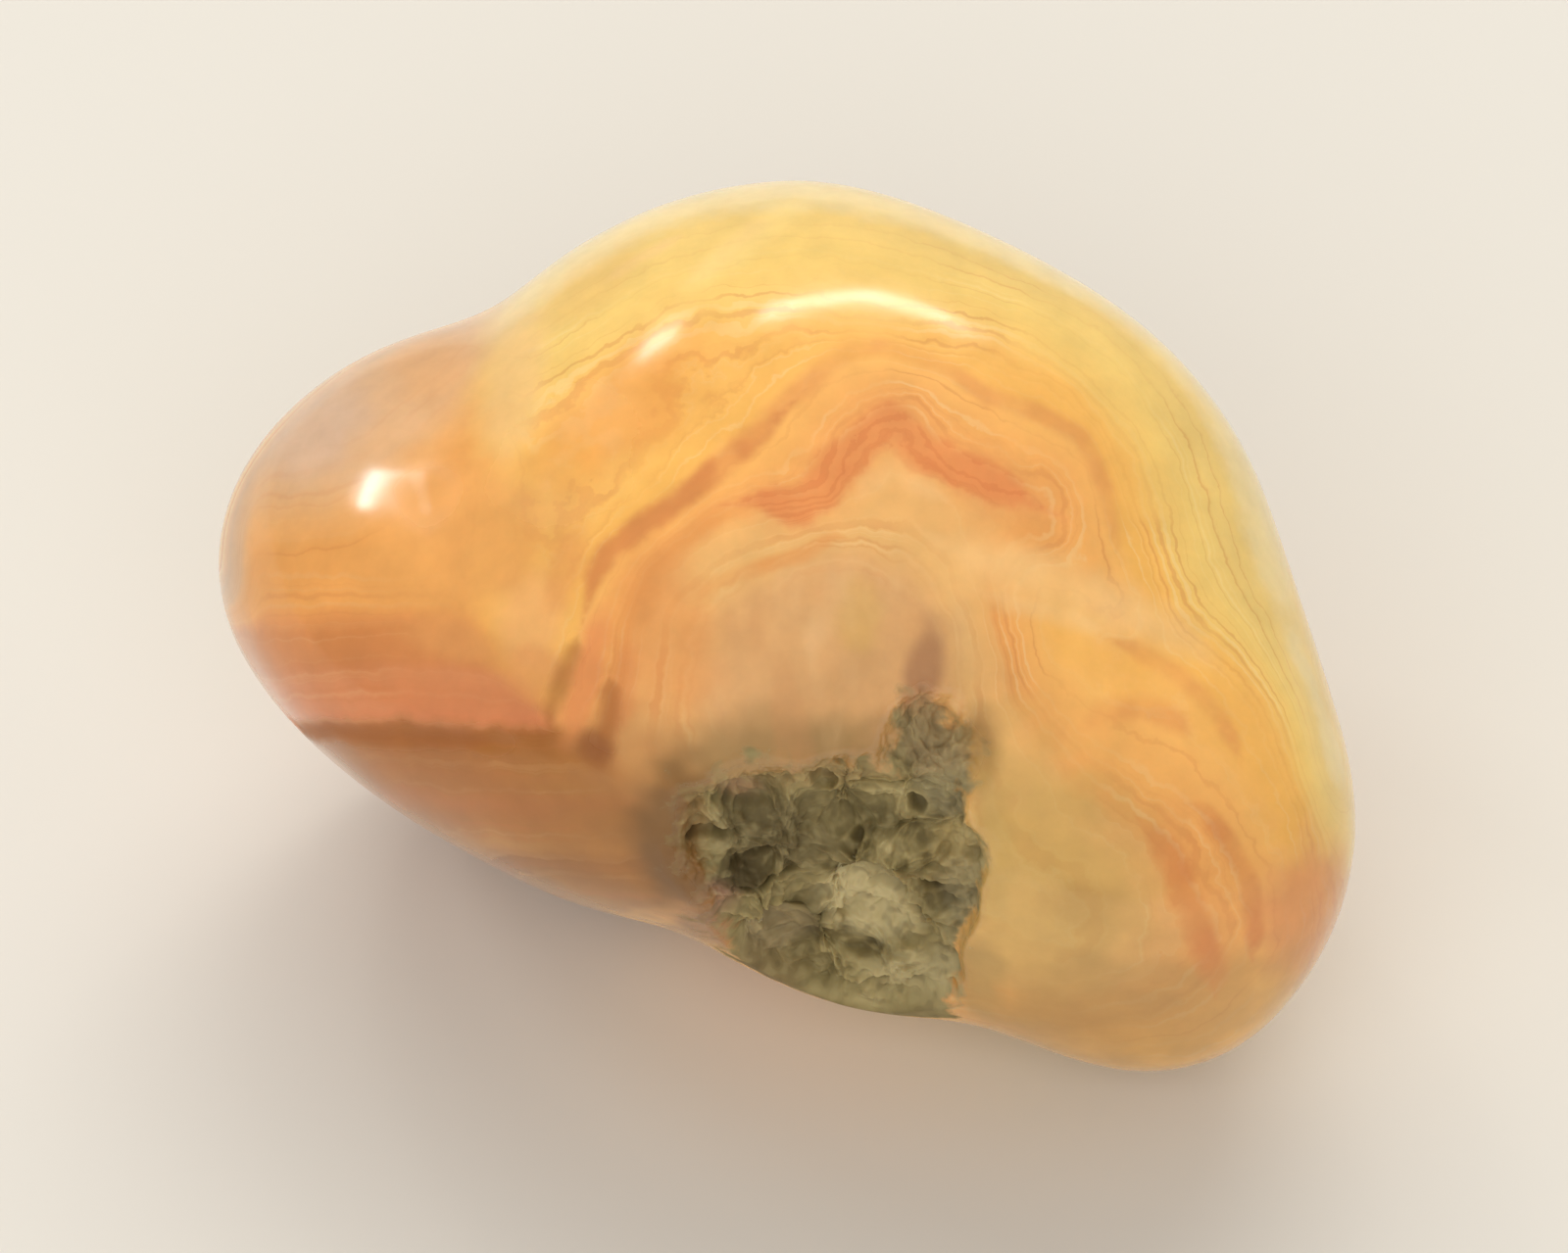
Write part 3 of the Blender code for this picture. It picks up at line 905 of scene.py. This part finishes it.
def milk_share(points, hidden):
    """1 in the milky heart of the dome."""
    u, v, _ = view_places(points)
    middle_u, middle_v = HEART_MIDDLE
    away = np.hypot((u - middle_u) / HEART_RADII[0], (v - middle_v) / HEART_RADII[1])
    return (1 - smooth_step(away, *HEART_FADE)) * (1 - hidden)


def milk_veil(points, hidden):
    """Soft upright streaks in the milky heart, from -1, dark, to 1, pale."""
    return milk_share(points, hidden) * clouds(points * HEART_STREAKS, "milk")


def lace_strength(points, hidden):
    """How strongly the fine lace shows: least in the milky heart and on the left lobe."""
    u, v, _ = view_places(points)
    lobe = LACE_LOSS_LOBE + LACE_LOSS_LOBE_TOP * smooth_step(v, *LACE_LOBE_V)
    lobe = smooth_step(-u, *LACE_LOBE_U) * lobe
    plain = LACE_LOSS_HEART * milk_share(points, hidden) + (1 - hidden) * lobe
    patches = LACE_LEAST + (1 - LACE_LEAST) * smooth_step(clouds(points, "lace"), *CLOUD_EDGE)
    return patches * (1 - np.clip(plain, 0.0, 1.0))


def dullness(points, solid):
    """1 on the rough crust, and less in the grooves and where the polish is worn."""
    dull = rough_share(points)
    for (u, v), radius, strength in WORN_PATCHES.values():
        distance = np.linalg.norm(points - solid.seen_at(u, v), axis=1) / radius
        distance += wander(points, "worn_edge")
        dull = np.maximum(dull, strength * (1 - smooth_step(distance, 0.1, 1.0)))
    for course, half_width, _ in GROOVES.values():
        dull = np.maximum(dull, GROOVE_DULLNESS * groove_share(points, solid, course, 2 * half_width))
    return dull


def add_field(data, name, values):
    field = data.attributes.new(name, "FLOAT", "POINT")
    field.data.foreach_set("value", values.astype(np.float32))


def add_paint(data, name, values):
    paint = data.color_attributes.new(name, "FLOAT_COLOR", "POINT")
    paint.data.foreach_set("color", values.astype(np.float32).ravel())


def skin_places(mesh, solid):
    """The skin's points before its relief, smoothed so that the solid's facets don't show."""
    points = np.array([solid.along(vertex.co.normalized()) for vertex in mesh.verts])
    flat = points[:, 2] < FLAT_BELOW
    edges = indices(mesh.edges)
    points = smoothed(points, edges, SMOOTHING_ROUNDS, SMOOTHING_PULL)
    in_hollow = 1 - smooth_step(hollow_distance(points), *HOLLOW_FADE)
    points = smoothed(points, edges, HOLLOW_ROUNDS, HOLLOW_PULL * in_hollow[:, None])
    points[flat, 2] = 0.0
    points[:, 2] = np.maximum(points[:, 2], 0.0)
    return points


def skin_fields(places, solid, hidden):
    """What the shader reads at each point, apart from what depends on the relief."""
    return {
        "hidden_share": hidden,
        "band_level": band_levels(places, solid, hidden),
        "lobe_share": lobe_share(places, hidden),
        "red_line": line_offset(places, solid, RED_LINES),
        "orange_line": line_offset(places, solid, ORANGE_LINES),
        "brown_line": line_offset(places, solid, BROWN_LINES),
        "light_line": line_offset(places, solid, LIGHT_LINES),
        "groove": groove_offset(places, solid),
        "lace_strength": lace_strength(places, hidden),
        "milk_veil": milk_veil(places, hidden),
        "line_weight": smooth_step(clouds(places, "line_weight"), *CLOUD_EDGE),
        "crust_distance": crust_distance(places),
        "dullness": dullness(places, solid),
    }


def make_stone():
    solid = Solid(NODE)
    mesh = starting_sphere()
    refine(mesh, solid)
    mesh.verts.index_update()
    places = skin_places(mesh, solid)
    normals = normals_of(places, indices(mesh.faces))
    crust = rough_share(places)
    relief = crust_relief(places, crust) + (1 - crust) * skin_relief(places, solid)
    above_floor = smooth_step(places[:, 2], 0.0, FULL_RELIEF_AT)
    points = places + normals * (relief * above_floor)[:, None]
    low, high = (np.array(corner) / MM for corner in CAD_BOX)
    points = np.clip(points, low, high)

    for vertex, point in zip(mesh.verts, points):
        vertex.co = Vector(point) * MM
    data = bpy.data.meshes.new("polished_agate")
    mesh.to_mesh(data)
    mesh.free()
    data.shade_smooth()

    hidden = hidden_share(normals)
    fields = skin_fields(places, solid, hidden)
    fields["lobe_level"] = lobe_levels(places, normals, hidden)
    fields["crust_height"] = (relief + crust_sink(places)) * crust + clouds(points, "crust_shade")
    fields["crust_speck"] = wander(points, "crust_speck")
    for name, values in fields.items():
        add_field(data, name, values)
    # Stains, with patches of painted shade at the stone's foot
    add_paint(data, "stain_and_shade", stained(places, solid, STAINS_AND_SHADE))
    add_paint(data, "crust_stain", stained(places, solid, CRUST_STAINS))
    data.materials.append(agate_look())
    stone = bpy.data.objects.new("polished_agate", data)
    bpy.context.scene.collection.objects.link(stone)
    return stone


class Look:
    """Adds nodes to a material, so that its look reads as a formula."""

    def __init__(self, name):
        self.material = bpy.data.materials.new(name)
        self.material.use_nodes = True
        self.tree = self.material.node_tree
        self.shader = self.tree.nodes["Principled BSDF"]

    def finish(self, values):
        """Sets or links the shader's own sockets."""
        for name, value in values.items():
            self.put(self.shader.inputs[name], value)

    def put(self, socket, value):
        if isinstance(value, bpy.types.NodeSocket):
            self.tree.links.new(value, socket)
        elif isinstance(value, tuple) and len(value) == 3 and socket.type == "RGBA":
            socket.default_value = (*value, 1.0)
        else:
            socket.default_value = value

    def node(self, kind, inputs=(), **settings):
        made = self.tree.nodes.new(kind)
        for name, value in settings.items():
            setattr(made, name, value)
        for key, value in dict(inputs).items():
            self.put(made.inputs[key], value)
        return made

    def field(self, name):
        return self.node("ShaderNodeAttribute", attribute_name=name).outputs["Fac"]

    def sum(self, first, second):
        return self.node("ShaderNodeMath", {0: first, 1: second}, operation="ADD").outputs[0]

    def times(self, first, second):
        return self.node("ShaderNodeMath", {0: first, 1: second}, operation="MULTIPLY").outputs[0]

    def noise(self, place, scale, detail, roughness=0.5):
        made = self.node("ShaderNodeTexNoise", {"Vector": place, "Scale": scale, "Detail": detail,
                                                "Roughness": roughness})
        return made.outputs["Fac"]

    def line_noise(self, along, scale, detail):
        made = self.node("ShaderNodeTexNoise", {"W": along, "Scale": scale, "Detail": detail},
                         noise_dimensions="1D")
        return made.outputs["Fac"]

    def remap(self, value, low, high, to_low=0.0, to_high=1.0, smooth=True):
        kind = "SMOOTHSTEP" if smooth else "LINEAR"
        made = self.node("ShaderNodeMapRange", {"Value": value, "From Min": low, "From Max": high,
                                                "To Min": to_low, "To Max": to_high},
                         interpolation_type=kind)
        return made.outputs["Result"]

    def between(self, share, first, second):
        made = self.node("ShaderNodeMix", {0: share, 2: first, 3: second}, data_type="FLOAT")
        return made.outputs[0]

    def mix(self, share, first, second, blend="MIX"):
        made = self.node("ShaderNodeMix", {0: share, 6: first, 7: second}, data_type="RGBA",
                         blend_type=blend)
        return made.outputs[2]

    def tinted(self, value, colour, name):
        low, high, strength, tint = TINTS[name]
        return self.mix(self.remap(value, low, high, 0.0, strength), colour, srgb(*tint))

    def painted(self, name, colour):
        """Lays the paint of a colour field, already multiplied by its share, over a colour."""
        paint = self.node("ShaderNodeAttribute", attribute_name=name)
        kept = self.mix(paint.outputs["Alpha"], colour, (0.0, 0.0, 0.0))
        return self.mix(1.0, kept, paint.outputs["Color"], blend="ADD")

    def drawn(self, name, unrest, under, colour, strength, softness):
        """Draws lines of a screen colour where their field is under 1, with uneven, soft edges."""
        offset = self.sum(self.field(name), self.times(unrest, 0.45))
        share = self.remap(offset, 1 + softness, 1 - softness)
        return self.mix(self.times(share, strength), under, srgb(*colour))

    def ramp(self, level, stops):
        """Colours by level, given as levels and screen colours."""
        low, high = stops[0][0], stops[-1][0]
        made = self.node("ShaderNodeValToRGB", {"Fac": self.remap(level, low, high, smooth=False)})
        elements = made.color_ramp.elements
        while len(elements) < len(stops):
            elements.new(0.5)
        for element, (stop, colour) in zip(elements, stops):
            element.position = (stop - low) / (high - low)
            element.color = (*srgb(*colour), 1.0)
        return made.outputs["Color"]


def band_colour(look, level):
    """The bands' colour, with darker rings round the eyes of the hidden side."""
    colour = look.ramp(level, BAND_COLOURS)
    hidden = look.field("hidden_share")
    for (start, full, full_end, end), strength, ring_colour in RINGS:
        ring = look.times(look.remap(level, start, full), look.remap(level, end, full_end))
        colour = look.mix(look.times(look.times(ring, hidden), strength), colour, srgb(*ring_colour))
    return colour


def laced(look, colour, level, lobe_level, on_lobe):
    """Lays fine pale and dark lines between the bands, but not on the rim or the joint to the lobe."""
    lace = look.line_noise(look.between(on_lobe, level, lobe_level), LACE_PER_LEVEL, 3.0)
    off_lobe = look.sum(look.times(on_lobe, -1.0), 1.0)
    off_joint = look.sum(look.times(look.times(on_lobe, off_lobe), -4.0), 1.0)
    off_rim = look.between(on_lobe, look.remap(level, *LACE_START), 1.0)
    strength = look.times(look.times(look.field("lace_strength"), off_joint), off_rim)
    pale = look.times(look.remap(lace, *PALE_LACE), look.times(strength, PALE_LACE_STRENGTH))
    dark = look.times(look.remap(lace, *DARK_LACE), look.times(strength, DARK_LACE_STRENGTH))
    pale_colour = look.mix(on_lobe, srgb(*PALE_LACE_COLOUR), srgb(*LOBE_LACE_COLOUR))
    return look.mix(dark, look.mix(pale, colour, pale_colour), srgb(*DARK_LACE_COLOUR))


def lined(look, colour, level, unrest):
    """Draws the lines. The red one has a halo, and streaks of a darker core."""
    weight = look.remap(look.field("line_weight"), 0.0, 1.0, LINE_LEAST, 1.0, smooth=False)
    for name, (line_colour, strength, softness) in LINE_LOOKS.items():
        colour = look.drawn(name, unrest, colour, line_colour, look.times(weight, strength), softness)
    halo = look.remap(look.field("red_line"), 2.6, 1.2)
    colour = look.mix(look.times(halo, HALO_STRENGTH), colour, srgb(*HALO_COLOUR))
    strength = look.remap(weight, LINE_LEAST, 1.0, 0.8, 1.0)
    colour = look.drawn("red_line", unrest, colour, RED_COLOUR, strength, 0.5)
    core = look.drawn("red_line", unrest, colour, CORE_COLOUR, 1.0, 0.3)
    streaks = look.remap(look.line_noise(level, CORE_STREAKS_PER_LEVEL, 2.0), 0.5, 0.62)
    colour = look.mix(look.times(streaks, CORE_STRENGTH), colour, core)
    return look.drawn("groove", unrest, colour, GROOVE_COLOUR, 0.6, 0.9)


def toned(look, colour, cloud):
    """Mottles the stone a little, and gives it its warm cast."""
    mottle = look.remap(cloud, *CLOUDY, 1 - MOTTLE, 1 + MOTTLE, smooth=False)
    tone = look.node("ShaderNodeCombineColor", {0: mottle, 1: mottle, 2: mottle}).outputs[0]
    colour = look.mix(1.0, colour, tone, blend="MULTIPLY")
    return look.mix(1.0, colour, STONE_CAST, blend="MULTIPLY")


def crust_colour(look):
    """The crust is darker where it is deeper, partly its own colour and partly painted shade in its
    crevices, with stains and specks.
    """
    colour = look.painted("crust_stain", look.ramp(look.field("crust_height"), CRUST_COLOURS_WITH_CREVICE_SHADE))
    speck = look.field("crust_speck")
    return look.tinted(speck, look.tinted(speck, colour, "pale_speck"), "dark_speck")


def agate_look():
    look = Look("polished_agate")
    place = look.node("ShaderNodeTexCoord").outputs["Object"]
    in_mm = look.node("ShaderNodeVectorMath", {0: place, 1: (1 / MM,) * 3}, operation="MULTIPLY").outputs[0]
    unrest = look.remap(look.noise(in_mm, 3.2, 3.0), 0.0, 1.0, -1.0, 1.0, smooth=False)
    cloud = look.noise(in_mm, 1.4, 4.0, 0.6)
    ripple = look.times(unrest, RIPPLE)
    level = look.sum(look.field("band_level"), ripple)
    lobe_level = look.sum(look.field("lobe_level"), look.times(ripple, LOBE_RIPPLE))
    on_lobe = look.field("lobe_share")

    colour = look.mix(on_lobe, band_colour(look, level), look.ramp(lobe_level, LOBE_COLOURS))
    colour = laced(look, colour, level, lobe_level, on_lobe)
    # Stains, and painted shade at the stone's foot
    colour = look.painted("stain_and_shade", colour)
    veil = look.field("milk_veil")
    colour = look.tinted(veil, look.tinted(veil, colour, "pale_veil"), "dark_veil")
    colour = toned(look, lined(look, colour, level, unrest), cloud)
    edge = look.noise(in_mm, 3.0, 3.0, 0.55)
    edge = look.remap(edge, 0.2, 0.8, -CRUST_RAGGEDNESS, CRUST_RAGGEDNESS, smooth=False)
    crust = look.remap(look.sum(look.field("crust_distance"), edge), 0.12, -0.1)

    dull = look.node("ShaderNodeMath", {0: crust, 1: look.field("dullness")}, operation="MAXIMUM").outputs[0]
    polish = look.remap(cloud, *CLOUDY, *POLISH)
    look.finish({
        "Base Color": look.mix(crust, colour, crust_colour(look)),
        "Roughness": look.between(dull, polish, CRUST_ROUGHNESS),
        "IOR": IOR,
        "Coat Weight": look.remap(dull, 0.0, 1.0, COAT, 0.0),
        "Coat Roughness": COAT_ROUGHNESS,
        "Subsurface Weight": SCATTER,
        "Subsurface Radius": SCATTER_RADIUS,
        "Subsurface Scale": SCATTER_SCALE * MM,
    })
    return look.material


def make_floor():
    look = Look("pale_floor")
    look.finish({"Base Color": srgb(*FLOOR_COLOUR), "Roughness": FLOOR_ROUGHNESS})
    data = bpy.data.meshes.new("floor")
    mesh = bmesh.new()
    bmesh.ops.create_grid(mesh, x_segments=1, y_segments=1, size=FLOOR_REACH)
    mesh.to_mesh(data)
    mesh.free()
    data.materials.append(look.material)
    floor = bpy.data.objects.new("floor", data)
    bpy.context.scene.collection.objects.link(floor)


def add_light(name, start, end, width, power, colour, seen_in_gloss):
    """A rectangle of light whose middle line runs from start to end, turned towards the stone."""
    start, end = Vector(start), Vector(end)
    light = bpy.data.lights.new(name, "AREA")
    light.shape = "RECTANGLE"
    light.size = (end - start).length
    light.size_y = width
    light.energy = power
    light.color = colour
    lamp = bpy.data.objects.new(name, light)
    bpy.context.scene.collection.objects.link(lamp)
    lamp.location = (start + end) / 2
    away = (lamp.location - Vector(LIT_PLACE)).normalized()
    along = (end - start - away * (end - start).dot(away)).normalized()
    lamp.rotation_mode = "QUATERNION"
    lamp.rotation_quaternion = Matrix((along, away.cross(along), away)).transposed().to_quaternion()
    lamp.visible_glossy = seen_in_gloss


def make_lights():
    for name, light in LIGHTS.items():
        add_light(name, *light)
    world = bpy.data.worlds.new("pale_room")
    world.use_nodes = True
    background = world.node_tree.nodes["Background"]
    background.inputs["Color"].default_value = (*ROOM_COLOUR, 1.0)
    background.inputs["Strength"].default_value = ROOM_STRENGTH
    bpy.context.scene.world = world


def make_camera():
    data = bpy.data.cameras.new("camera")
    data.lens = LENS
    data.sensor_width = SENSOR
    data.clip_start = NEAREST
    data.clip_end = FARTHEST
    camera = bpy.data.objects.new("camera", data)
    bpy.context.scene.collection.objects.link(camera)
    target = (V_AXIS * OUTLINE_MIDDLE + W_AXIS * (STONE_MIDDLE @ W_AXIS)) * MM
    camera.location = Vector(target + W_AXIS * (FRAME_WIDTH * MM * LENS / SENSOR))
    camera.rotation_mode = "QUATERNION"
    camera.rotation_quaternion = (Vector(target) - camera.location).to_track_quat("-Z", "Y")
    bpy.context.scene.camera = camera


def main():
    stone = make_stone()
    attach(stone, "root")
    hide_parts(NODE)
    make_floor()
    make_lights()
    make_camera()
    bpy.context.scene.view_settings.view_transform = "Standard"


main()
